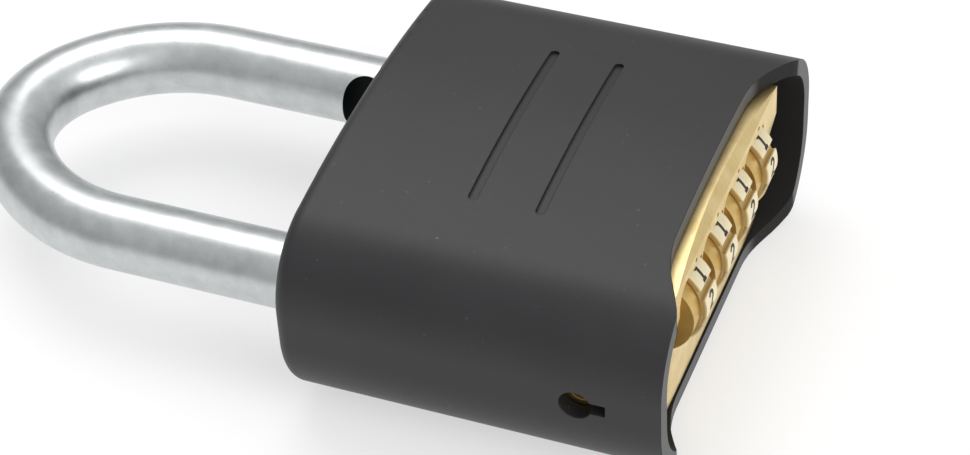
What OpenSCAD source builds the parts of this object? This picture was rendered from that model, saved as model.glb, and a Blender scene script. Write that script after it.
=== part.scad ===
// Combination padlock lying on its back: +Z is the front face, -X the shackle, +X the dial end.
// The origin is on the flat back, under the middle of the body.

/* [Body] */
// Width of the cover across the two shackle legs
body_w = 50.8; // [48:0.2:56]
// Height of the cover from its top face to the corners of its rim
body_h = 40.8; // [39.6:0.2:44]
// Depth of the cover from back to front
body_d = 24.4; // [23.4:0.2:27]
// How far the radius of the front corners falls short of half the depth
front_short = 3.2; // [2.8:0.1:4]
// How far the radius of the back corners falls short of half the depth
back_short = 1.7; // [1.5:0.1:3.4]
// Rise of the crowned front above its corners
crown = 1.2; // [0.8:0.1:1.8]
// Rounding of the edge around the top face
edge_r = 1.5; // [1:0.1:1.7]
// Wall of the cover
wall = 1.8; // [1.6:0.1:2]
// Thickness of the top of the cover
top_wall = 2; // [1.8:0.1:2.4]
// Gap between the cover and the lock case
case_gap = 0.25; // [0.15:0.05:0.4]
// Depth of the scooped rim at the dial end
scoop_depth = 3.05; // [2.8:0.05:3.2]
// Length of the plain rim at each side of the scoop
rim_flat = 4.3; // [3.8:0.1:5]
// Radius at the foot of the scoop's slopes
scoop_r = 13; // [10:0.5:14]
// Radius at the head of the scoop's slopes
rim_r = 3.6; // [3:0.1:4.5]
// Steepness of the scoop's slopes
scoop_turn = 26.5; // [24:0.5:29]
// Diameter of the pin that holds the cover
cover_pin_d = 2.4; // [2:0.1:2.6]

/* [Front lines] */
// Distance of each engraved line from the middle
line_x = 3.55; // [3:0.05:5]
// Width of an engraved line
line_w = 1; // [0.6:0.1:1.4]
// Half length of an engraved line
line_half = 12.4; // [9:0.1:14]
// Depth of an engraved line at the middle of the crown
line_depth = 0.35; // [0.25:0.05:0.6]

/* [Shackle] */
// Diameter of the shackle bar
bar_d = 8; // [7.5:0.1:8]
// Distance of the middle of each leg from the side of the cover
leg_from_side = 10.4; // [10:0.1:10.6]
// Distance of the middle of the legs from the front of the cover
leg_from_front = 13.8; // [13.4:0.1:14.2]
// Straight length of the legs above the top face when open
leg_rise = 22.8; // [16:0.2:60]
// Reach of the bend beyond the straight legs, to the middle of the bar
bend_reach = 18.3; // [17:0.1:19]
// Travel of the shackle between open and locked
lift = 11.7; // [11:0.1:12]
// Clearance of the toe above the top face when open
toe_gap = 0.6; // [0.4:0.1:0.9]
// Radius of the locking notch in the toe
notch_r = 2.4; // [2.2:0.1:2.5]
// Depth of the locking notch in the toe
notch_depth = 2.2; // [2:0.1:2.3]
// Length of the tip beyond the locking notch
tip_len = 2.57; // [2.3:0.01:3]
// Chamfer on the ends of the legs
leg_chamfer = 0.8; // [0.4:0.1:1]
// Radius of the neck in the heel
neck_r = 3; // [2.7:0.1:3.1]
// Length of the collar at the end of the heel
collar_len = 1.8; // [1.6:0.1:2]
// Radial clearance of the legs in the lock case
bore_gap = 0.2; // [0.15:0.05:0.3]
// Radial clearance of the legs in the cover
hole_gap = 0.35; // [0.3:0.05:0.5]

/* [Heel] */
// Depth of the heel's end below the top face when open
heel_depth = 15.2; // [15:0.1:15.2]
// Diameter of the pin that holds the heel
heel_pin_d = 1.6; // [1.4:0.1:1.7]
// Thickness of the rim of the cup under the heel
cup_t = 0.8; // [0.6:0.1:0.8]
// Height of the boss of the cup above its rim
cup_boss = 1; // [0.6:0.1:1]
// Radius of the coil of the heel spring
heel_coil_r = 3; // [2.8:0.1:3.2]
// Diameter of the wire of the heel spring
heel_wire_d = 0.25; // [0.2:0.01:0.25]

/* [Latch] */
// Width of the latch bolt along the lock
latch_w = 4.2; // [4:0.1:4.3]
// Thickness of the latch bolt
latch_t = 5; // [4:0.1:5.4]
// Travel of the latch bolt into the notch
latch_travel = 2.2; // [2:0.1:2.2]
// Length of the latch bolt, as a part of its channel
latch_share = 0.623; // [0.58:0.001:0.65]
// Clearance around the sliding pieces
slide_gap = 0.2; // [0.15:0.05:0.25]
// Thickness of the case plate
plate_t = 1.6; // [1.4:0.1:1.8]
// Length of the fence plate without its fingers
fence_len = 13; // [12:0.1:13.4]
// Width of a finger of the fence plate
finger_w = 1.2; // [1:0.1:1.3]
// Travel of the fence plate
fence_travel = 1.2; // [1:0.1:1.3]
// Length of the fence spring at rest
fence_spring_len = 4.5; // [4:0.1:4.6]

/* [Dial] */
// Part of the cover's width that the four wheels take up
wheels_share = 0.5512; // [0.548:0.0001:0.556]
// Radius over the number pads
wheel_r = 5.6; // [5.5:0.05:5.7]
// Radius between the number pads
wheel_root_r = 5.1; // [4.8:0.05:5.2]
// Width of the number band, as a part of the distance between wheels
band_share = 0.46; // [0.44:0.01:0.47]
// Width of the grooves between the number pads
pad_gap = 1.1; // [0.7:0.1:1.2]
// Angle of the number on show above the dial end
read_angle = 40; // [35:1:44]
// Distance of the wheel axis from the corners of the rim
axis_from_rim = 5.2; // [5:0.1:5.5]
// Distance of the wheel axis from the front of the cover
axis_from_front = 9; // [8.8:0.1:9.2]
// Clearance around the wheels in the lock case
wheel_gap = 0.35; // [0.25:0.05:0.4]
// Radius of the sleeve inside a number wheel
sleeve_r = 2.9; // [2.8:0.05:3]
// Radius of the flange of a wheel hub
flange_r = 4.9; // [4.6:0.05:4.95]
// Width of the flange of a wheel hub, as a part of the distance between wheels
flange_share = 0.27; // [0.24:0.01:0.28]
// Radial running clearance of the turning pieces
run_gap = 0.05; // [0.03:0.01:0.08]
// Radius of the spindle
spindle_r = 1.6; // [1.5:0.05:1.7]
// Travel of the spindle when the numbers are reset
shift = 1; // [0.8:0.1:1]
// Radius of the thumb hollows between the wheels
hollow_r = 2.2; // [1.9:0.1:2.3]
// Depth of the thumb hollows below the dial face
hollow_depth = 1; // [0.7:0.1:1.2]
// Thickness of the detent spring
detent_t = 0.4; // [0.3:0.05:0.4]

/* [Dial face] */
// Height of the dial face's front part above the scooped rim
face_rise = 1.8; // [1.4:0.1:2]
// Distance of the raised part's far end from the side of the cover
face_from_side = 8.4; // [7.8:0.1:8.6]
// Depth of the open pocket beside the raised part
pocket_depth = 8; // [5:0.2:8.6]

/* [Change key] */
// Radius of the round part of the keyhole
key_r = 1.7; // [1.6:0.05:1.8]
// Length of the keyhole's slot from its centre
key_slot_len = 3.1; // [2.8:0.1:3.4]
// Width of the keyhole's slot
key_slot_w = 1.4; // [1.2:0.1:1.5]
// Distance of the keyhole from the corners of the rim
key_from_rim = 8.8; // [8.7:0.1:9]
// Distance of the keyhole behind the wheel axis
key_drop = 3.2; // [3:0.1:3.4]
// Radius of the change key cam
cam_r = 2.3; // [2.2:0.05:2.4]
// Radius of the round socket in the change key cam
socket_r = 1.2; // [1:0.05:1.3]
// Depth of the socket in the change key cam
cam_socket = 3; // [2:0.1:3.2]
// Thickness of the clip on the change key cam
clip_t = 0.6; // [0.5:0.05:0.7]
// Thickness of the shift yoke
yoke_t = 1; // [0.8:0.1:1.1]

/* [Hidden] */
$fn = 96;
eps = 0.01;

black = [0.13, 0.13, 0.14];
brass = [0.78, 0.64, 0.36];
chrome = [0.8, 0.81, 0.83];
steel = [0.6, 0.61, 0.63];

x_top = -body_h / 2;
x_rim = body_h / 2;
half_w = body_w / 2;
front_r = body_d / 2 - front_short;
back_r = body_d / 2 - back_short;

// Centres of the corner arcs and of the crowned front. The crown sits a hair inside its
// tangent, so that it crosses the corners cleanly.
fy = half_w - front_r;
fz = body_d - crown - front_r;
by = half_w - back_r;
bz = back_r;
crown_seat = 0.002;
crown_h = body_d - front_r;
crown_z = (crown_h * crown_h - fy * fy - fz * fz) / (2 * (crown_h - fz));
crown_r = body_d - crown_z - crown_seat;
crown_turn = atan(fy / (fz - crown_z));
mid_z = (bz + fz) / 2;

// Each slope of the scoop is an arc, a straight stretch and an arc. The straight stretch starts
// and ends a hair inside the arcs, so that it crosses them cleanly.
x_scoop = x_rim - scoop_depth;
scoop_end = half_w - rim_flat;
scoop_seat = 0.01;
slope_x = scoop_depth - (scoop_r + rim_r) * (1 - cos(scoop_turn));
scoop_half = scoop_end - (scoop_r + rim_r) * sin(scoop_turn) - slope_x / tan(scoop_turn);

// Lock case
case_in = wall + case_gap;
x_case = x_top + top_wall + 0.2;
bar_r = bar_d / 2;
leg_y = half_w - leg_from_side;
leg_z = body_d - leg_from_front;
bore_r = bar_r + bore_gap;
bend_x = x_top - leg_rise;
toe_x = x_top - toe_gap;
notch_x = toe_x - tip_len - sqrt(notch_r * notch_r - pow(notch_r - notch_depth, 2));
notch_y = leg_y - bar_r + notch_depth - notch_r;
toe_bore_x = toe_x + lift + 1.1;

// Bend of the shackle: two side arcs and one middle arc, tangent to each other.
// Their centres and the middle make triangles of 3 to 4 to 5.
bend_q = 2 * (bend_reach - leg_y);
bend_r = bend_reach - bend_q;
side_r = leg_y + 0.75 * bend_q;

// Heel
heel_x = x_top + heel_depth;
collar_x = heel_x - collar_len;
heel_pin_r = heel_pin_d / 2;
pin_x = collar_x - heel_pin_r - 0.15;
pin_y = -leg_y + neck_r + heel_pin_r + 0.1;
pin_end = leg_z + bore_r + 0.4;
neck_x = pin_x - lift - heel_pin_r - 0.2;
cup_x = heel_x + 0.1;
cup_r = bar_r - 0.1;

// Latch
latch_x = notch_x + lift;
latch_tip = leg_y - bore_r - 0.4;
latch_seat = pin_y + heel_pin_r + plate_t;
latch_len = latch_share * (latch_tip - latch_seat);
latch_back = latch_tip - latch_len;
latch_spring_len = latch_back - latch_seat;
latch_z0 = leg_z - latch_t / 2;
nose_r = latch_w / 2;

// Case plate over the latch
plate_edge = 1.4;
plate_x0 = latch_x - latch_w / 2 - plate_edge;
plate_x1 = latch_x + latch_w / 2 + plate_edge;
plate_y0 = latch_seat - 1.2;
plate_y1 = leg_y - 2.6;

// Wheels
axis_x = x_rim - axis_from_rim;
axis_z = body_d - axis_from_front;
wheel_pitch = wheels_share * body_w / 4;
wheel_w = band_share * wheel_pitch;
flange_w = flange_share * wheel_pitch;
first_y = 1.5 * wheel_pitch;
flange_gap = 0.1;
pocket_r = wheel_r + wheel_gap;
flange_pocket_r = flange_r + 0.3;
side_gap = 0.2;
gate_z0 = 0.6;
gate_z1 = 2.6;
gate_depth = 1.4;
spindle_y0 = -first_y - wheel_w / 2 - flange_w - 0.3 * wheel_pitch;
spindle_y1 = first_y + wheel_w / 2 + 1.8;
stub_r = 0.6 * spindle_r;
spring_room = 2.6;
heel_bore_x = axis_x - pocket_r - 0.55;

// Pin that holds the cover, between the latch and the wheels
cover_pin_r = cover_pin_d / 2;
cover_pin_x = axis_x - 2 * wheel_r;
cover_pin_len = leg_z - 2;

// Detent spring
detent_x0 = axis_x - wheel_r - 0.5;
detent_y = first_y + 1;
detent_z0 = axis_z - wheel_r - 0.4;
detent_tip_z = axis_z - 0.375 * wheel_r;

// Fence
fence_z0 = axis_z + gate_z0 + 0.2;
fence_z1 = axis_z + gate_z1 - 0.2;
finger_x = axis_x - sqrt(flange_r * flange_r - pow(gate_z0 + 0.2, 2)) - 0.35;
fence_x1 = axis_x - pocket_r - 2.25;
fence_x0 = fence_x1 - fence_len;
fence_y1 = first_y - wheel_w / 2 - flange_gap - flange_w / 2 + finger_w;
fence_y0 = fence_y1 - 3 * wheel_pitch - 2 * finger_w;

// Change key
key_x = x_rim - key_from_rim;
key_z = axis_z - key_drop;
yoke_y1 = spindle_y0;
yoke_y0 = yoke_y1 - yoke_t;
cam_y1 = yoke_y0 - shift - 0.4;
cam_y0 = -half_w + case_in + 0.1;
clip_y0 = cam_y0 + 0.8;
yoke_turn = atan2(key_z - axis_z, key_x - axis_x);
yoke_len = norm([key_z - axis_z, key_x - axis_x]);

// Dial face
face_x = x_scoop + face_rise;
low_x = x_scoop - 0.2;
face_half = half_w - face_from_side;

function wheel_y(i) = first_y - (i - 1) * wheel_pitch;
function flange_y(i) = wheel_y(i) - wheel_w / 2 - flange_gap - flange_w / 2;

// Puts a drawing of the cross-section along the lock, from x0 to x1
module along_x(x0, x1) {
    translate([x0, 0, 0])
        rotate([90, 0, 90])
            linear_extrude(x1 - x0) children();
}

// Puts a drawing of the side view across the lock, from y0 to y1
module along_y(y0, y1) {
    translate([0, y1, 0])
        rotate([90, 0, 0])
            linear_extrude(y1 - y0) children();
}

module x_rod(r, x0, x1, y, z) {
    translate([x0, y, z])
        rotate([0, 90, 0])
            cylinder(r = r, h = x1 - x0);
}

module y_rod(r, y0, y1, x, z) {
    translate([x, y1, z])
        rotate([90, 0, 0])
            cylinder(r = r, h = y1 - y0);
}

// Cross-section of the body, drawn in by a given amount
module section(inset) {
    hw = half_w - inset;
    yc = fy + (front_r - inset) * sin(crown_turn);
    intersection() {
        translate([0, crown_z]) circle(r = crown_r - inset, $fn = 240);
        translate([-yc, mid_z]) square([2 * yc, body_d]);
    }
    for (s = [-1, 1]) {
        translate([s * fy, fz]) circle(r = front_r - inset);
        translate([s * by, bz]) circle(r = back_r - inset);
    }
    polygon([[-by, inset], [by, inset], [by, bz], [hw, bz], [hw, fz], [-hw, fz], [-hw, bz], [-by, bz]]);
}

// What the rounding takes off a square corner at the origin
module edge_cut() {
    difference() {
        translate([-edge_r, -1]) square([edge_r + 1, edge_r + 1]);
        translate([-edge_r, edge_r]) circle(r = edge_r, $fn = 24);
    }
}

// Sector of the body about an axis along the lock, with its top edge rounded
module edge_sector(r, y, z, a, sweep, n) {
    translate([x_top, y, z])
        rotate([90, 0, 90])
            rotate([0, 0, a])
                rotate_extrude(angle = sweep, $fn = n)
                    difference() {
                        square([r, body_h]);
                        translate([r, 0]) edge_cut();
                    }
}

// Outer form of the cover: quarter rounds at the corners, slabs between them and the crown
module cover_form() {
    yc = fy + front_r * sin(crown_turn);
    edge_sector(front_r, fy, fz, 0, 90, 96);
    edge_sector(front_r, -fy, fz, 90, 90, 96);
    edge_sector(back_r, by, bz, 270, 90, 96);
    edge_sector(back_r, -by, bz, 180, 90, 96);
    intersection() {
        edge_sector(crown_r, 0, crown_z, 60, 60, 360);
        translate([x_top - 1, -yc, mid_z]) cube([body_h + 2, 2 * yc, body_d]);
    }
    translate([x_top, 0, bz])
        linear_extrude(fz - bz)
            difference() {
                translate([0, -half_w]) square([body_h, body_w]);
                for (s = [0, 1])
                    mirror([0, s]) translate([0, half_w]) rotate([0, 0, 90]) mirror([0, 1]) edge_cut();
            }
    translate([x_top, 0, 0])
        along_y(-by, by)
            difference() {
                square([body_h, bz]);
                rotate([0, 0, 90]) rotate([0, 180, 0]) edge_cut();
            }
}

// Plan of the scoop that is cut through the front and back of the rim
module scoop_plan() {
    foot = scoop_r - scoop_seat;
    head = rim_r - scoop_seat;
    slope_start = [x_scoop + scoop_r - foot * cos(scoop_turn), scoop_half + foot * sin(scoop_turn)];
    slope_end = [x_rim - rim_r + head * cos(scoop_turn), scoop_end - head * sin(scoop_turn)];
    translate([x_scoop, -scoop_half]) square([scoop_depth + 3, 2 * scoop_half]);
    for (s = [0, 1])
        mirror([0, s]) {
            translate([x_scoop + scoop_r - 0.002, scoop_half]) circle(r = scoop_r, $fn = 240);
            difference() {
                polygon([slope_start, slope_end, [x_rim - 0.3, scoop_end], [x_rim + 3, scoop_end],
                    [x_rim + 3, slope_start[1]]]);
                translate([x_rim - rim_r, scoop_end]) circle(r = rim_r);
            }
        }
}

// Round-ended line across the front
module line_plan(x) {
    translate([x - line_w / 2, -line_half + line_w / 2])
        square([line_w, 2 * line_half - line_w]);
    for (s = [-1, 1])
        translate([x, s * (line_half - line_w / 2)]) circle(r = line_w / 2, $fn = 24);
}

module cover() {
    color(black)
        difference() {
            cover_form();
            along_x(x_top + top_wall, x_rim + 1) section(wall);
            for (s = [-1, 1])
                x_rod(bar_r + hole_gap, x_top - 1, x_top + top_wall + 1, s * leg_y, leg_z);
            translate([0, 0, -1]) linear_extrude(body_d + 3) scoop_plan();
            y_rod(key_r, -half_w - 1, -half_w + wall + 1, key_x, key_z);
            translate([key_x, -half_w - 1, key_z - key_slot_w / 2])
                cube([key_slot_len, wall + 2, key_slot_w]);
            // The lines are as deep at their middle as the crown allows
            difference() {
                for (s = [-1, 1])
                    translate([0, 0, body_d - 2])
                        linear_extrude(3) line_plan(s * line_x);
                x_rod(crown_r - line_depth, x_top - 1, x_rim + 1, 0, crown_z, $fn = 240);
            }
            translate([cover_pin_x, 0, -1]) cylinder(r = cover_pin_r + run_gap, h = wall + 2, $fn = 32);
        }
}

// Side view of the lock case: the front of its dial face stands proud of the scoop
module case_side() {
    polygon([[x_case, 0], [low_x, 0], [low_x, case_in], [low_x + 0.2, axis_z - 6.4], [face_x, axis_z + 2.1],
        [face_x, body_d - 3.2], [face_x - 1, body_d - case_in + 0.1], [face_x - 1, body_d],
        [x_case, body_d]]);
}

// Room for one number wheel and its hub
module wheel_room(i) {
    y = wheel_y(i);
    y_rod(pocket_r, y - wheel_w / 2 - side_gap, y + wheel_w / 2 + side_gap, axis_x, axis_z);
    y_rod(flange_pocket_r, flange_y(i) - flange_w / 2 - shift - 0.2, y, axis_x, axis_z);
}

// Hollow for the thumb beside a number wheel
module thumb_hollow(y) {
    x = x_scoop + face_rise / 2 + hollow_r - hollow_depth;
    z0 = axis_z - 9.4;
    z1 = axis_z + 2.8;
    translate([x, y, z0]) cylinder(r = hollow_r, h = z1 - z0);
    for (z = [z0, z1])
        translate([x, y, z]) sphere(r = hollow_r, $fn = 48);
}

// Arm from the spindle to the change key cam, from y to y + t, grown all round
module yoke_form(y, t, grow) {
    translate([axis_x, y + t, axis_z])
        rotate([90, 0, 0]) {
            cylinder(r = 2.4 + grow, h = t);
            rotate([0, 0, yoke_turn]) {
                translate([0, -1.4 - grow, 0]) cube([yoke_len, 2.8 + 2 * grow, t]);
                translate([yoke_len, 0, 0]) cylinder(r = 1.8 + grow, h = t);
            }
        }
}

module lock_case() {
    color(brass)
        difference() {
            intersection() {
                along_x(x_case, x_rim) section(case_in);
                along_y(-half_w, half_w) case_side();
            }
            // Open pocket at the far end of the raised face
            translate([x_rim - pocket_depth - 2.4, face_half, -1])
                cube([pocket_depth + 4, half_w, body_d + 2]);
            // Toe and heel bores
            x_rod(bore_r, x_case - 1, toe_bore_x, leg_y, leg_z);
            x_rod(bore_r, x_case - 1, heel_bore_x, -leg_y, leg_z);
            translate([pin_x, pin_y, -1])
                cylinder(r = heel_pin_r + run_gap, h = pin_end + 1.2, $fn = 48);
            // Latch channel, open to the back under the case plate, and its way into the toe bore
            translate([latch_x - latch_w / 2 - slide_gap, latch_seat, -1])
                cube([latch_w + 2 * slide_gap, latch_tip + 1 - latch_seat, latch_z0 + latch_t + slide_gap + 1]);
            translate([latch_x - latch_w / 2 - slide_gap, latch_tip, latch_z0 - slide_gap])
                cube([latch_w + 2 * slide_gap, leg_y - latch_tip, latch_t + 2 * slide_gap]);
            // Bed of the case plate
            translate([plate_x0, plate_y0, -1])
                cube([plate_x1 - plate_x0, plate_y1 - plate_y0, case_in + plate_t + 1]);
            // Wheels, hubs and spindle
            for (i = [1:4]) wheel_room(i);
            y_rod(spindle_r + run_gap, spindle_y0 - 1, spindle_y1 + spring_room, axis_x, axis_z);
            for (i = [1:4]) thumb_hollow(flange_y(i) - 0.4);
            // Fence plate and its fingers
            translate([fence_x0 - 0.4 - fence_spring_len, fence_y0 - slide_gap, fence_z0 - slide_gap])
                cube([axis_x - 3.6 - fence_x0 + fence_spring_len, fence_y1 - fence_y0 + 2 * slide_gap,
                    fence_z1 - fence_z0 + 2 * slide_gap]);
            // Detent spring
            translate([detent_x0 - 0.1, -detent_y - 0.2, detent_z0 - 0.2])
                cube([2, 2 * detent_y + 0.4, detent_tip_z + 0.6 - detent_z0]);
            // Yoke and change key cam
            yoke_form(yoke_y0 - shift - 0.2, yoke_t + shift + 0.4, 0.3);
            y_rod(cam_r + run_gap, -half_w - 1, yoke_y0, key_x, key_z);
            y_rod(cam_r + 0.7, clip_y0 - 0.1, clip_y0 + clip_t + 0.1, key_x, key_z);
            // Hole for the pin that holds the cover
            translate([cover_pin_x, 0, -1])
                cylinder(r = cover_pin_r + run_gap, h = cover_pin_len + 1.4, $fn = 32);
        }
}

// Plate that closes the back of the lock case and carries the latch
module case_plate() {
    color(brass) {
        translate([plate_x0 + 0.1, plate_y0 + 0.1, case_in])
            cube([plate_x1 - plate_x0 - 0.2, plate_y1 - plate_y0 - 0.2, plate_t]);
        translate([latch_x - latch_w / 2, latch_seat + 0.2, case_in])
            cube([latch_w, latch_tip - 0.2 - latch_seat, latch_z0 - slide_gap - case_in]);
    }
}

module cover_pin() {
    color(brass)
        translate([cover_pin_x, 0, 0.1])
            cylinder(r = cover_pin_r, h = cover_pin_len, $fn = 32);
}

// Ring of round bar in the plane of the shackle
module bar_ring(r, x, y) {
    translate([x, y, leg_z])
        rotate_extrude($fn = 120)
            translate([r, 0]) circle(r = bar_r, $fn = 40);
}

// Wedge seen from the front, with its tip at x, y and its flanks at 3 to 4
module bend_wedge(x, y, len) {
    translate([x, y, leg_z - bar_r - 1])
        linear_extrude(bar_d + 2)
            polygon([[0, 0], [-4 * len, 3 * len], [-4 * len - 3, 0], [-4 * len, -3 * len]]);
}

module shackle() {
    color(chrome)
        difference() {
            union() {
                intersection() {
                    bar_ring(bend_r, bend_x - bend_q, 0);
                    bend_wedge(bend_x - bend_q, 0, 6);
                }
                for (s = [-1, 1])
                    intersection() {
                        bar_ring(side_r, bend_x, s * (leg_y - side_r));
                        translate([bend_x, s * (leg_y - side_r), leg_z - bar_r - 1])
                            linear_extrude(bar_d + 2)
                                polygon([[0, 0], [-32, 24 * s], [-32, 32 * s], [0, 32 * s]]);
                    }
                x_rod(bar_r, bend_x, toe_x - leg_chamfer, leg_y, leg_z, $fn = 48);
                translate([toe_x - leg_chamfer, leg_y, leg_z])
                    rotate([0, 90, 0])
                        cylinder(r1 = bar_r, r2 = bar_r - leg_chamfer, h = leg_chamfer, $fn = 48);
                x_rod(bar_r, bend_x, neck_x, -leg_y, leg_z, $fn = 48);
                x_rod(neck_r, neck_x - 1, collar_x + 1, -leg_y, leg_z);
                x_rod(bar_r, collar_x, heel_x, -leg_y, leg_z);
            }
            translate([notch_x, notch_y, leg_z - bar_r - 1])
                cylinder(r = notch_r, h = bar_d + 2);
        }
}

module spring_cup() {
    color(steel) {
        x_rod(cup_r, cup_x, cup_x + cup_t, -leg_y, leg_z);
        x_rod(heel_coil_r - heel_wire_d / 2 - 0.3, cup_x, cup_x + cup_t + cup_boss, -leg_y, leg_z);
    }
}

// Round wire wound along +Z from z = 0 to z = len, with six-sided wire
module coil(r, d, turns, len) {
    steps = 12 * turns;
    rise = (len - d) / steps;
    sides = 6;
    pts = [for (i = [0:steps]) for (k = [0:sides - 1])
        let (a = 30 * i, b = 60 * k)
        [(r + d / 2 * cos(b)) * cos(a), (r + d / 2 * cos(b)) * sin(a), d / 2 + rise * i + d / 2 * sin(b)]];
    skin = [for (i = [0:steps - 1]) for (k = [0:sides - 1])
        let (m = (k + 1) % sides)
        [i * sides + k, (i + 1) * sides + k, (i + 1) * sides + m, i * sides + m]];
    polyhedron(points = pts, faces = concat(skin,
        [[for (k = [0:sides - 1]) k]],
        [[for (k = [0:sides - 1]) steps * sides + sides - 1 - k]]));
}

module heel_spring() {
    color(steel)
        translate([cup_x + cup_t + 0.1, -leg_y, leg_z])
            rotate([0, 90, 0])
                coil(heel_coil_r, heel_wire_d, 5, heel_bore_x - cup_x - cup_t - 0.2);
}

module heel_pin() {
    color(steel)
        translate([pin_x, pin_y, case_in])
            cylinder(r = heel_pin_r, h = pin_end - case_in, $fn = 48);
}

module latch_bolt() {
    color(steel) {
        translate([latch_x - latch_w / 2, latch_back, latch_z0])
            cube([latch_w, latch_len - nose_r, latch_t]);
        translate([latch_x, latch_tip - nose_r, latch_z0])
            cylinder(r = nose_r, h = latch_t);
    }
}

module latch_spring() {
    color(steel)
        translate([latch_x, latch_back - 0.1, leg_z])
            rotate([90, 0, 0])
                coil(1.5, 0.35, 6, latch_spring_len - 0.2);
}

module fence_plate() {
    color(steel) {
        translate([fence_x0, fence_y0, fence_z0])
            cube([fence_len, fence_y1 - fence_y0, fence_z1 - fence_z0]);
        for (i = [1:4])
            translate([fence_x1 - eps, flange_y(i) - finger_w / 2, fence_z0])
                cube([finger_x - fence_x1 + eps, finger_w, fence_z1 - fence_z0]);
    }
}

module fence_spring() {
    color(steel)
        translate([fence_x0 - 0.2, 0, (fence_z0 + fence_z1) / 2])
            rotate([0, -90, 0])
                coil(0.55, 0.25, 6, fence_spring_len - 0.2);
}

// Number band with ten raised pads, bored for its hub
module number_wheel(i) {
    y = wheel_y(i);
    color(brass)
        difference() {
            y_rod(wheel_r, y - wheel_w / 2, y + wheel_w / 2, axis_x, axis_z);
            y_rod(sleeve_r + run_gap, y - wheel_w, y + wheel_w, axis_x, axis_z);
            for (k = [0:9])
                translate([axis_x, y, axis_z])
                    rotate([0, 36 * k + 18 - read_angle, 0])
                        translate([wheel_root_r, -wheel_w, -pad_gap / 2])
                            cube([2, 2 * wheel_w, pad_gap]);
        }
}

// Hub inside a number wheel, with a flange that carries its gate
module wheel_hub(i) {
    y = flange_y(i);
    color(brass)
        difference() {
            union() {
                y_rod(flange_r, y - flange_w / 2, y + flange_w / 2, axis_x, axis_z);
                y_rod(sleeve_r, y, wheel_y(i) + wheel_w / 2, axis_x, axis_z);
            }
            y_rod(spindle_r + run_gap, y - flange_w, wheel_y(i) + wheel_w, axis_x, axis_z);
            translate([axis_x - flange_r - 1, y - flange_w, axis_z + gate_z0])
                cube([gate_depth + 1, 2 * flange_w, gate_z1 - gate_z0]);
        }
}

module number_wheel_1() {
    number_wheel(1);
}

module number_wheel_2() {
    number_wheel(2);
}

module number_wheel_3() {
    number_wheel(3);
}

module number_wheel_4() {
    number_wheel(4);
}

module wheel_hub_1() {
    wheel_hub(1);
}

module wheel_hub_2() {
    wheel_hub(2);
}

module wheel_hub_3() {
    wheel_hub(3);
}

module wheel_hub_4() {
    wheel_hub(4);
}

// Spindle with a stub that carries the yoke
module spindle() {
    color(steel) {
        y_rod(spindle_r, spindle_y0, spindle_y1, axis_x, axis_z);
        y_rod(stub_r, yoke_y0, spindle_y0 + 1, axis_x, axis_z);
    }
}

module spindle_spring() {
    color(steel)
        translate([axis_x, spindle_y1 + 0.1, axis_z])
            rotate([-90, 0, 0])
                coil(1.15, 0.3, 4, spring_room - 0.2);
}

// Arm on the end of the spindle that the change key cam lets move
module shift_yoke() {
    color(steel)
        difference() {
            yoke_form(yoke_y0, yoke_t, 0);
            y_rod(stub_r + run_gap, yoke_y0 - 1, yoke_y1 + 1, axis_x, axis_z);
        }
}

module change_key_cam() {
    color(brass)
        difference() {
            y_rod(cam_r, cam_y0, cam_y1, key_x, key_z);
            y_rod(socket_r, cam_y0 - 1, cam_y0 + cam_socket, key_x, key_z);
            translate([key_x, cam_y0 - 1, key_z - key_slot_w / 2])
                cube([cam_r + 1, cam_socket + 1, key_slot_w]);
            difference() {
                y_rod(cam_r + 1, clip_y0 - 0.05, clip_y0 + clip_t + 0.05, key_x, key_z);
                y_rod(cam_r - 0.35, clip_y0 - 1, clip_y0 + clip_t + 1, key_x, key_z);
            }
        }
}

// Open ring in the groove of the change key cam
module cam_clip() {
    color(steel)
        difference() {
            y_rod(cam_r + 0.6, clip_y0, clip_y0 + clip_t, key_x, key_z);
            y_rod(cam_r - 0.3, clip_y0 - 1, clip_y0 + clip_t + 1, key_x, key_z);
            translate([key_x, clip_y0 - 1, key_z - key_slot_w / 2 - 0.3])
                cube([cam_r + 2, clip_t + 2, key_slot_w + 0.6]);
        }
}

// Flat spring with one bent finger for each wheel
module detent_spring() {
    tip_x = axis_x - sqrt(pow(wheel_r + 0.5, 2) - pow(axis_z - detent_tip_z, 2));
    strip_z1 = axis_z - 0.55 * wheel_r;
    color(steel) {
        translate([detent_x0, -detent_y, detent_z0])
            cube([detent_t, 2 * detent_y, strip_z1 - detent_z0]);
        for (i = [1:4]) {
            translate([detent_x0, wheel_y(i) - 1, strip_z1 - 0.2])
                cube([detent_t, 2, detent_tip_z + detent_t / 2 - strip_z1 + 0.2]);
            translate([detent_x0, wheel_y(i) - 1, detent_tip_z - detent_t / 2])
                cube([tip_x - detent_x0, 2, detent_t]);
        }
    }
}

cover();
lock_case();
case_plate();
cover_pin();
shackle();
spring_cup();
heel_spring();
heel_pin();
latch_bolt();
latch_spring();
fence_plate();
fence_spring();
number_wheel_1();
number_wheel_2();
number_wheel_3();
number_wheel_4();
wheel_hub_1();
wheel_hub_2();
wheel_hub_3();
wheel_hub_4();
spindle();
spindle_spring();
shift_yoke();
change_key_cam();
cam_clip();
detent_spring();
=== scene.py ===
"""Looks of the combination padlock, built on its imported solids.

The lock lies open on its back. Lengths are in metres in the row frame; patterns are in millimetres.
"""

import math

import bpy
import numpy as np
from mathutils import Matrix, Vector


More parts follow.
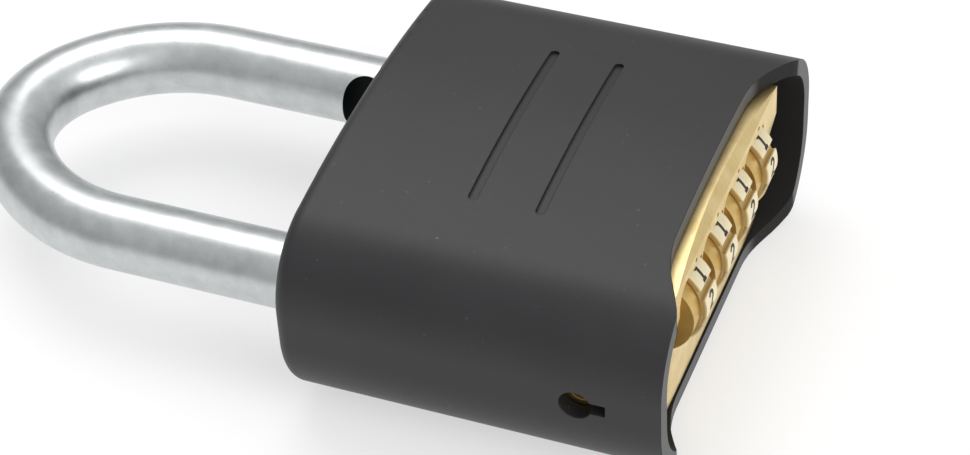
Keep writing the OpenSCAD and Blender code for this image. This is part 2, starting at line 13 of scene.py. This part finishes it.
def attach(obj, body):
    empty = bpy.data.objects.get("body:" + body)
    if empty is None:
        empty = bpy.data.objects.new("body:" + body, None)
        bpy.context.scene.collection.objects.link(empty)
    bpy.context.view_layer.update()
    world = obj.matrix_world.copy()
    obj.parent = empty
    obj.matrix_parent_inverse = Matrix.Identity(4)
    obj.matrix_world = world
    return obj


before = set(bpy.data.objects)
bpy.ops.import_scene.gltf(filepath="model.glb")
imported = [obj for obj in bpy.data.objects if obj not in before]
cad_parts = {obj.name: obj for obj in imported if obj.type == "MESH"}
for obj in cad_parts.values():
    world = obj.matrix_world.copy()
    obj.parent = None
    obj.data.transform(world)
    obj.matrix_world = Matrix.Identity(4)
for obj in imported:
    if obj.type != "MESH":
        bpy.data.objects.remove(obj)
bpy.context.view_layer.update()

MM = 0.001
AXLE_X = 15.2
AXLE_Z = 15.4
PAD_RADIUS = 5.6
PAD_STEP = 36
FIRST_PAD = 40
WHEEL_Y = (10.5, 3.5, -3.5, -10.5)
FACE_X = 19.15
MID_Z = 12.2
NOTCH = (-25.96, 10.8)
NOTCH_RADIUS = 2.4
DOT_Z = 20.5
DOT_RADIUS = 0.24
INK_LIFT = 0.004
STROKE = 0.40


class Value:
    """A socket that carries a number; its operators add Math nodes."""

    def __init__(self, finish, socket):
        self.finish = finish
        self.socket = socket

    def _math(self, operation, a, b=None, clamp=False):
        node = self.finish.node(
            "ShaderNodeMath", {"operation": operation, "use_clamp": clamp}, {0: a, 1: b}
        )
        return Value(self.finish, node.outputs[0])

    def __add__(self, other):
        return self._math("ADD", self, other)

    __radd__ = __add__

    def __sub__(self, other):
        return self._math("SUBTRACT", self, other)

    def __rsub__(self, other):
        return self._math("SUBTRACT", other, self)

    def __mul__(self, other):
        return self._math("MULTIPLY", self, other)

    __rmul__ = __mul__

    def __truediv__(self, other):
        return self._math("DIVIDE", self, other)

    def above(self, edge, soft):
        """Mask that rises from 0 to 1 as the value passes edge, over the width soft."""
        return ((self - edge) / soft + 0.5).clamped()

    def below(self, edge, soft):
        return ((edge - self) / soft + 0.5).clamped()

    def clamped(self):
        return self._math("ADD", self, 0.0, clamp=True)

    def root(self):
        return self._math("SQRT", self)


class Finish:
    """A material whose nodes are added by a few plain calls."""

    def __init__(self, name):
        self.material = bpy.data.materials.new(name)
        self.material.use_nodes = True
        self.tree = self.material.node_tree
        self.shader = self.tree.nodes["Principled BSDF"]
        self._place = None

    def node(self, kind, settings=None, sockets=None):
        """Adds a node: its settings first, then a value or a link for each socket."""
        made = self.tree.nodes.new(kind)
        for key, value in (settings or {}).items():
            setattr(made, key, value)
        for key, value in (sockets or {}).items():
            if value is None:
                continue
            self.feed(made.inputs[key], value)
        return made

    def feed(self, socket, value):
        if isinstance(value, Value):
            value = value.socket
        if isinstance(value, bpy.types.NodeSocket):
            self.tree.links.new(value, socket)
        elif isinstance(value, tuple) and len(value) == 3 and socket.type == "RGBA":
            socket.default_value = (*value, 1.0)
        else:
            socket.default_value = value

    def place(self):
        """Object position in millimetres."""
        if self._place is None:
            coords = self.node("ShaderNodeTexCoord")
            scaled = self.node(
                "ShaderNodeVectorMath", {"operation": "SCALE"}, {0: coords.outputs["Object"], "Scale": 1 / MM}
            )
            self._place = scaled.outputs[0]
        return self._place

    def stretched(self, x, y, z):
        """Object position in millimetres, times a factor along each axis."""
        made = self.node(
            "ShaderNodeVectorMath", {"operation": "MULTIPLY"}, {0: self.place(), 1: (x, y, z)}
        )
        return made.outputs[0]

    def axis(self, letter):
        split = self.node("ShaderNodeSeparateXYZ", None, {0: self.place()})
        return Value(self, split.outputs[letter])

    def facing(self, letter):
        """Part of the surface's direction that points along an axis of the object."""
        coords = self.node("ShaderNodeTexCoord")
        split = self.node("ShaderNodeSeparateXYZ", None, {0: coords.outputs["Normal"]})
        return Value(self, split.outputs[letter])

    def noise(self, scale, detail=3.0, rough=0.5, where=None, distortion=0.0):
        made = self.node(
            "ShaderNodeTexNoise",
            None,
            {
                "Vector": where or self.place(),
                "Scale": scale,
                "Detail": detail,
                "Roughness": rough,
                "Distortion": distortion,
            },
        )
        return Value(self, made.outputs["Fac"])

    def mix(self, factor, a, b):
        """Colour a where the factor is 0 and colour b where it is 1."""
        made = self.node("ShaderNodeMix", {"data_type": "RGBA"}, {"Factor": factor})
        self.feed(made.inputs[6], a)
        self.feed(made.inputs[7], b)
        return made.outputs[2]

    def bump(self, height, depth, strength=1.0, over=None):
        """Bumps of the given depth in millimetres where the height goes from 0 to 1."""
        made = self.node(
            "ShaderNodeBump",
            None,
            {"Height": height, "Distance": depth * MM, "Strength": strength, "Normal": over},
        )
        return made.outputs[0]

    def rounded_edges(self, radius):
        made = self.node("ShaderNodeBevel", {"samples": 6}, {"Radius": radius * MM})
        return made.outputs[0]

    def surface(self, **sockets):
        for key, value in sockets.items():
            self.feed(self.shader.inputs[key.replace("_", " ")], value)
        return self.material


def black_coating():
    """Satin black coating with a faint grain, dust specks, a lighter grey on the end faces of the lip, and
    painted shade on its inner walls.
    """
    f = Finish("black_coating")
    grain = f.noise(2.6, 3.0, 0.55)
    cloud = f.noise(0.09, 2.0)
    specks = f.noise(1.7, 1.0).above(0.79, 0.03)
    scratches = f.noise(0.5, 4.0, 0.6, f.stretched(0.35, 4.0, 1.0)).above(0.72, 0.05)
    lip = f.facing("X").above(0.55, 0.25) * f.axis("X").above(16.9, 0.4)
    outward = f.facing("Y") * f.axis("Y") + f.facing("Z") * (f.axis("Z") - MID_Z)
    inside_shade = outward.below(-3.0, 2.0)
    base = f.mix(cloud, (0.014, 0.014, 0.016), (0.024, 0.024, 0.026))
    base = f.mix((specks * 0.25 + scratches * 0.08), base, (0.16, 0.16, 0.17))
    base = f.mix(lip * (0.65 + grain * 0.35), base, (0.075, 0.077, 0.080))
    # Painted shade: the walls that face into the cover are made near black.
    base = f.mix(inside_shade, base, (0.006, 0.006, 0.006))
    rough = 0.42 + grain * 0.10 + cloud * 0.05 - specks * 0.1 + inside_shade * 0.3
    return f.surface(
        Base_Color=base,
        Roughness=rough,
        Specular_IOR_Level=0.42,
        Normal=f.bump(grain, 0.012, 0.6, f.rounded_edges(0.18)),
    )


def turned_brass(name, light, dark, rough):
    """Machined brass: fine tool marks across the lock, patches of tarnish, and painted shade that darkens it
    further into the cover.
    """
    f = Finish(name)
    marks = f.noise(5.0, 2.0, 0.6, f.stretched(1.0, 0.12, 1.0))
    stain = f.noise(0.35, 3.0, 0.6)
    fine = f.noise(9.0, 2.0)
    deep_shade = f.axis("X").below(17.0, 1.6)
    # Painted shade: below X 17 mm the brass turns to its dark tone; the stain patches are tarnish.
    base = f.mix(stain.above(0.52, 0.35) * 0.5 + deep_shade * 0.35, light, dark)
    return f.surface(
        Base_Color=base,
        Metallic=1.0,
        Roughness=rough + marks * 0.14 + stain * 0.06,
        Normal=f.bump(marks * 0.7 + fine * 0.3, 0.010, 0.55, f.rounded_edges(0.10)),
    )


def pad_brass():
    """Pale satin brass of the number wheels, with painted shade in the grooves between their pads."""
    f = Finish("pad_brass")
    split = f.node("ShaderNodeSeparateXYZ", None, {0: f.place()})
    dx = Value(f, split.outputs["X"]) - AXLE_X
    dz = Value(f, split.outputs["Z"]) - AXLE_Z
    reach = (dx * dx + dz * dz).root()
    marks = f.noise(5.0, 2.0, 0.6, f.stretched(1.0, 0.2, 1.0))
    stain = f.noise(0.7, 3.0, 0.6)
    groove_shade = reach.below(5.42, 0.16)
    base = f.mix(stain.above(0.5, 0.4) * 0.4, (0.90, 0.81, 0.57), (0.78, 0.64, 0.36))
    # Painted shade: the roots of the grooves between the pads turn dark brown.
    base = f.mix(groove_shade * 0.85, base, (0.46, 0.31, 0.10))
    return f.surface(
        Base_Color=base,
        Metallic=0.75,
        Roughness=0.38 + marks * 0.12 + groove_shade * 0.12,
        Normal=f.bump(marks, 0.008, 0.5, f.rounded_edges(0.10)),
    )


def bright_chrome():
    """Dull bright plating: soft waves, cloudy patches, hair lines along the bar, a few pits, and
    painted shade and dark reflection in the locking notch."""
    f = Finish("bright_chrome")
    waves = f.noise(0.16, 2.0, 0.5)
    clouds = f.noise(0.42, 4.0, 0.62)
    lines = f.noise(3.2, 2.0, 0.6, f.stretched(0.10, 1.0, 1.0))
    pits = f.noise(2.4, 1.0).above(0.78, 0.03)
    dx = f.axis("X") - NOTCH[0]
    dy = f.axis("Y") - NOTCH[1]
    notch = (dx * dx + dy * dy).root().below(NOTCH_RADIUS + 0.05, 0.05)
    base = f.mix(clouds.above(0.5, 0.3), (0.53, 0.555, 0.565), (0.63, 0.65, 0.65))
    base = f.mix(pits * 0.5, base, (0.30, 0.31, 0.32))
    # Painted shade and dark reflection: the locking notch is made near black.
    base = f.mix(notch, base, (0.012, 0.014, 0.014))
    return f.surface(
        Base_Color=base,
        Metallic=1.0,
        Roughness=0.24 + clouds * 0.14 + lines * 0.08 + pits * 0.2 + notch * 0.3,
        Normal=f.bump(lines * 0.4 + waves * 0.3 + clouds * 0.3, 0.03, 0.4),
    )


def plain_steel(name, tone, rough):
    """Bare or sprung steel with a drawn grain and spots of oil."""
    f = Finish(name)
    drawn = f.noise(4.0, 2.0, 0.6, f.stretched(0.15, 1.0, 1.0))
    oil = f.noise(0.5, 3.0).above(0.55, 0.2)
    base = f.mix(oil * 0.5, tone, tuple(0.7 * c for c in tone))
    return f.surface(
        Base_Color=base,
        Metallic=1.0,
        Roughness=rough + drawn * 0.15 - oil * 0.08,
        Normal=f.bump(drawn, 0.01, 0.4),
    )


def black_fill():
    """Dull black paint in the cut numbers."""
    f = Finish("black_fill")
    grain = f.noise(6.0, 2.0)
    return f.surface(
        Base_Color=f.mix(grain, (0.012, 0.011, 0.010), (0.035, 0.030, 0.024)),
        Roughness=0.55 + grain * 0.2,
        Normal=f.bump(grain, 0.01, 0.5),
    )


def dress(material, *nodes):
    for name in nodes:
        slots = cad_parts[name].data.materials
        if not len(slots):
            slots.append(material)
        for i in range(len(slots)):
            slots[i] = material


case_brass = turned_brass("case_brass", (0.88, 0.71, 0.37), (0.64, 0.46, 0.17), 0.31)
# Painted shade: the hubs, seen in the hollows between the wheels, get a darker copy of the case brass.
shaded_hub_brass = turned_brass("shaded_hub_brass", (0.74, 0.53, 0.20), (0.46, 0.29, 0.07), 0.34)
steel = plain_steel("bare_steel", (0.56, 0.57, 0.58), 0.28)
spring_wire = plain_steel("spring_wire", (0.38, 0.39, 0.41), 0.30)
ink = black_fill()

dress(black_coating(), "cover")
dress(case_brass, "lock_case", "case_plate", "cover_pin", "change_key_cam")
dress(pad_brass(), *[f"number_wheel_{i}" for i in range(1, 5)])
dress(shaded_hub_brass, *[f"wheel_hub_{i}" for i in range(1, 5)])
dress(bright_chrome(), "shackle")
dress(steel, "spring_cup", "heel_pin", "latch_bolt", "fence_plate", "spindle", "shift_yoke")
dress(
    spring_wire, "heel_spring", "latch_spring", "fence_spring", "spindle_spring", "cam_clip", "detent_spring"
)


def mesh_piece(name, points, faces, material, body):
    """Puts points in millimetres and their faces into a mesh that rides on a body."""
    mesh = bpy.data.meshes.new(name)
    mesh.from_pydata((np.asarray(points) * MM).tolist(), [], np.asarray(faces).tolist())
    mesh.validate()
    mesh.materials.append(material)
    made = bpy.data.objects.new(name, mesh)
    bpy.context.scene.collection.objects.link(made)
    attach(made, body)
    return made


def eased(points, steps=8):
    """Points of a smooth line through the given points: between two of them it is the cubic
    whose slope at each is half the difference of its neighbours."""
    p = np.asarray(points, float)
    ends = np.vstack([2 * p[0] - p[1], p, 2 * p[-1] - p[-2]])
    a, b, c, d = ends[:-3], ends[1:-2], ends[2:-1], ends[3:]
    t = (np.arange(steps) / steps)[None, :, None]
    a, b, c, d = (q[:, None, :] for q in (a, b, c, d))
    curve = 0.5 * (
        2 * b + (c - a) * t + (2 * a - 5 * b + 4 * c - d) * t**2 + (3 * b - a - 3 * c + d) * t**3
    )
    return np.vstack([curve.reshape(-1, 2), p[-1:]])


def ring(cx, cy, rx, ry, start=0.0, turn=360.0, count=28):
    """Points of an ellipse arc: centre plus the radii times cosine and sine of the angle."""
    a = np.radians(start + turn * np.arange(count + 1) / count)
    return np.stack([cx + rx * np.cos(a), cy + ry * np.sin(a)], axis=1)


# Each numeral is a few strokes in a box 1.3 wide and 2.2 high, about its middle
NUMERALS = {
    0: [ring(0, 0, 0.50, 0.92)],
    1: [np.array([[-0.42, 0.55], [0.02, 0.98]]), np.array([[0, 1.02], [0, -1.0]]), np.array([[-0.4, -0.94], [0.4, -0.94]])],
    2: [eased([[-0.48, 0.55], [-0.2, 0.92], [0.3, 0.86], [0.42, 0.4], [0.05, -0.25], [-0.5, -0.92]]), np.array([[-0.56, -0.92], [0.55, -0.92]])],
    3: [ring(-0.04, 0.45, 0.46, 0.47, 150, -240, 20), ring(-0.04, -0.45, 0.52, 0.49, 90, -240, 20)],
    4: [np.array([[0.22, 1.02], [0.22, -1.02]]), np.array([[0.24, 0.95], [-0.58, -0.4]]), np.array([[-0.62, -0.4], [0.6, -0.4]])],
    5: [np.array([[0.5, 0.92], [-0.4, 0.92]]), np.array([[-0.38, 0.98], [-0.44, 0.05]]), ring(-0.05, -0.33, 0.54, 0.6, 130, -260, 22)],
    6: [ring(0, -0.38, 0.48, 0.55), eased([[0.36, 0.95], [-0.1, 0.72], [-0.42, 0.2], [-0.48, -0.38]])],
    7: [np.array([[-0.52, 0.92], [0.55, 0.92]]), eased([[0.5, 0.92], [0.1, 0.1], [-0.15, -1.0]])],
    8: [ring(0, 0.47, 0.42, 0.45), ring(0, -0.46, 0.5, 0.48)],
    9: [ring(0, 0.38, 0.48, 0.55), eased([[-0.36, -0.95], [0.1, -0.72], [0.42, -0.2], [0.48, 0.38]])],
}


def ribbon(line):
    """Points and faces of a flat band along a line: the line plus and minus half the stroke
    times its normal, which is the line's direction turned a quarter."""
    along = np.gradient(line, axis=0)
    if np.allclose(line[0], line[-1]):
        along[0] = along[-1] = line[1] - line[-2]
    along /= np.linalg.norm(along, axis=1, keepdims=True)
    side = np.stack([-along[:, 1], along[:, 0]], axis=1) * STROKE / 2
    points = np.stack([line + side, line - side], axis=1).reshape(-1, 2)
    k = np.arange(len(line) - 1) * 2
    return points, np.stack([k, k + 1, k + 3, k + 2], axis=1)


def refined(line, step=0.25):
    """The same line with points no further apart than the step."""
    gaps = np.linalg.norm(np.diff(line, axis=0), axis=1)
    run = np.concatenate([[0], np.cumsum(gaps)])
    at = np.linspace(0, run[-1], max(2, int(run[-1] / step) + 1))
    return np.stack([np.interp(at, run, line[:, i]) for i in (0, 1)], axis=1)


def wheel_numbers(index):
    """Numerals on the pads of one wheel: a flat stroke (u, v) goes to the angle of its pad plus
    v over the radius, and to the place u across the wheel."""
    radius = PAD_RADIUS + INK_LIFT
    points, faces, first = [], [], 0
    for k in range(10):
        middle = math.radians(FIRST_PAD - PAD_STEP * k)
        for stroke in NUMERALS[(k + 1) % 10]:
            flat, quads = ribbon(refined(stroke))
            angle = middle + flat[:, 1] / radius
            points.append(
                np.stack(
                    [
                        AXLE_X + radius * np.cos(angle),
                        WHEEL_Y[index] + flat[:, 0],
                        AXLE_Z + radius * np.sin(angle),
                    ],
                    axis=1,
                )
            )
            faces.append(quads + first)
            first += len(flat)
    return np.vstack(points), np.vstack(faces)


for i in range(4):
    spots, quads = wheel_numbers(i)
    mesh_piece(f"wheel_{i + 1}_numbers", spots, quads, ink, f"dial_{i + 1}")


def index_dots():
    """Round dots on the case above the wheels: a fan of points on a circle about each centre."""
    turn = np.linspace(0, 2 * math.pi, 25)[:-1]
    points, faces = [], []
    for y in WHEEL_Y:
        first = len(points) * 24
        points.append(
            np.stack(
                [
                    np.full(24, FACE_X + INK_LIFT),
                    y + DOT_RADIUS * np.cos(turn),
                    DOT_Z + DOT_RADIUS * np.sin(turn),
                ],
                axis=1,
            )
        )
        faces.append(np.arange(24) + first)
    return np.vstack(points), np.array(faces)


spots, rounds = index_dots()
mesh_piece("index_dots", spots, rounds, ink, "lock_body")


def studio():
    """A plain pale floor, a white surround for the camera and for reflections, and soft lamps."""
    bpy.ops.mesh.primitive_plane_add(size=6, location=(0, 0, -0.00005))
    floor = bpy.context.object
    floor.name = "floor"
    f = Finish("floor_paper")
    f.surface(Base_Color=(0.90, 0.90, 0.90), Roughness=0.9, Specular_IOR_Level=0.1)
    path = f.node("ShaderNodeLightPath")
    glossy = Value(f, path.outputs["Is Glossy Ray"]) * 0.75
    lifted = Value(f, path.outputs["Is Camera Ray"]) * 0.55
    glow = f.node("ShaderNodeEmission", None, {"Color": (1.0, 1.0, 1.0), "Strength": 1.0})
    both = f.node(
        "ShaderNodeMixShader",
        None,
        {0: glossy + lifted, 1: f.shader.outputs[0], 2: glow.outputs[0]},
    )
    out = next(n for n in f.tree.nodes if n.type == "OUTPUT_MATERIAL")
    f.tree.links.new(both.outputs[0], out.inputs[0])
    floor.data.materials.append(f.material)

    world = bpy.data.worlds.new("white_surround")
    bpy.context.scene.world = world
    world.use_nodes = True
    nodes, links = world.node_tree.nodes, world.node_tree.links
    sky = nodes["Background"]
    sky.inputs["Color"].default_value = (1, 1, 1, 1)

    def step(kind, operation, *values):
        made = nodes.new(kind)
        if operation:
            made.operation = operation
        for k, value in enumerate(values):
            if isinstance(value, bpy.types.NodeSocket):
                links.new(value, made.inputs[k])
            else:
                made.inputs[k].default_value = value
        return made.outputs

    def sum_of(operation, a, b):
        return step("ShaderNodeMath", operation, a, b)[0]

    # Reflections see a surround that is bright overhead and grey at the horizon
    way = step("ShaderNodeSeparateXYZ", None, step("ShaderNodeTexCoord", None)["Generated"])
    height = sum_of("ABSOLUTE", way["Z"], 0.0)
    level = sum_of("ADD", sum_of("MULTIPLY", sum_of("POWER", height, 0.8), 0.43), 0.44)
    shade = sum_of("MULTIPLY", level, sum_of("ADD", sum_of("MULTIPLY", way["X"], 0.26), 0.92))
    path = nodes.new("ShaderNodeLightPath")
    white = sum_of("MAXIMUM", path.outputs["Is Camera Ray"], path.outputs["Is Transmission Ray"])
    glossy = sum_of("MULTIPLY", path.outputs["Is Glossy Ray"], shade)
    other = sum_of("SUBTRACT", 1.0, sum_of("MAXIMUM", white, path.outputs["Is Glossy Ray"]))
    soft = sum_of("MULTIPLY", other, 0.80)
    links.new(sum_of("ADD", white, sum_of("ADD", glossy, soft)), sky.inputs["Strength"])

    for name, place, target, size, power in (
        ("key_softbox", (-0.25, 0.30, 0.75), (0, 0, 0.01), 0.5, 2.6),
        ("side_softbox", (0.55, -0.30, 0.45), (0, 0, 0.01), 0.4, 1.8),
    ):
        lamp = bpy.data.lights.new(name, "AREA")
        lamp.size = size
        lamp.energy = power
        made = bpy.data.objects.new(name, lamp)
        bpy.context.scene.collection.objects.link(made)
        made.location = place
        made.rotation_mode = "QUATERNION"
        made.rotation_quaternion = (Vector(target) - Vector(place)).to_track_quat("-Z", "Y")


def photo_camera():
    data = bpy.data.cameras.new("photo_camera")
    data.lens = 106.3
    data.sensor_width = 36.0
    data.clip_start = 0.01
    data.clip_end = 20.0
    made = bpy.data.objects.new("photo_camera", data)
    bpy.context.scene.collection.objects.link(made)
    right = Vector((0.9336, 0.35568, -0.04342))
    up = Vector((-0.20698, 0.63422, 0.74493))
    back = Vector((0.2925, -0.68648, 0.66572))
    turn = Matrix((right, up, back)).transposed()
    made.matrix_world = Matrix.Translation((0.08105, -0.20794, 0.21004)) @ turn.to_4x4()
    bpy.context.scene.camera = made


studio()
photo_camera()
bpy.context.scene.view_settings.view_transform = "Standard"
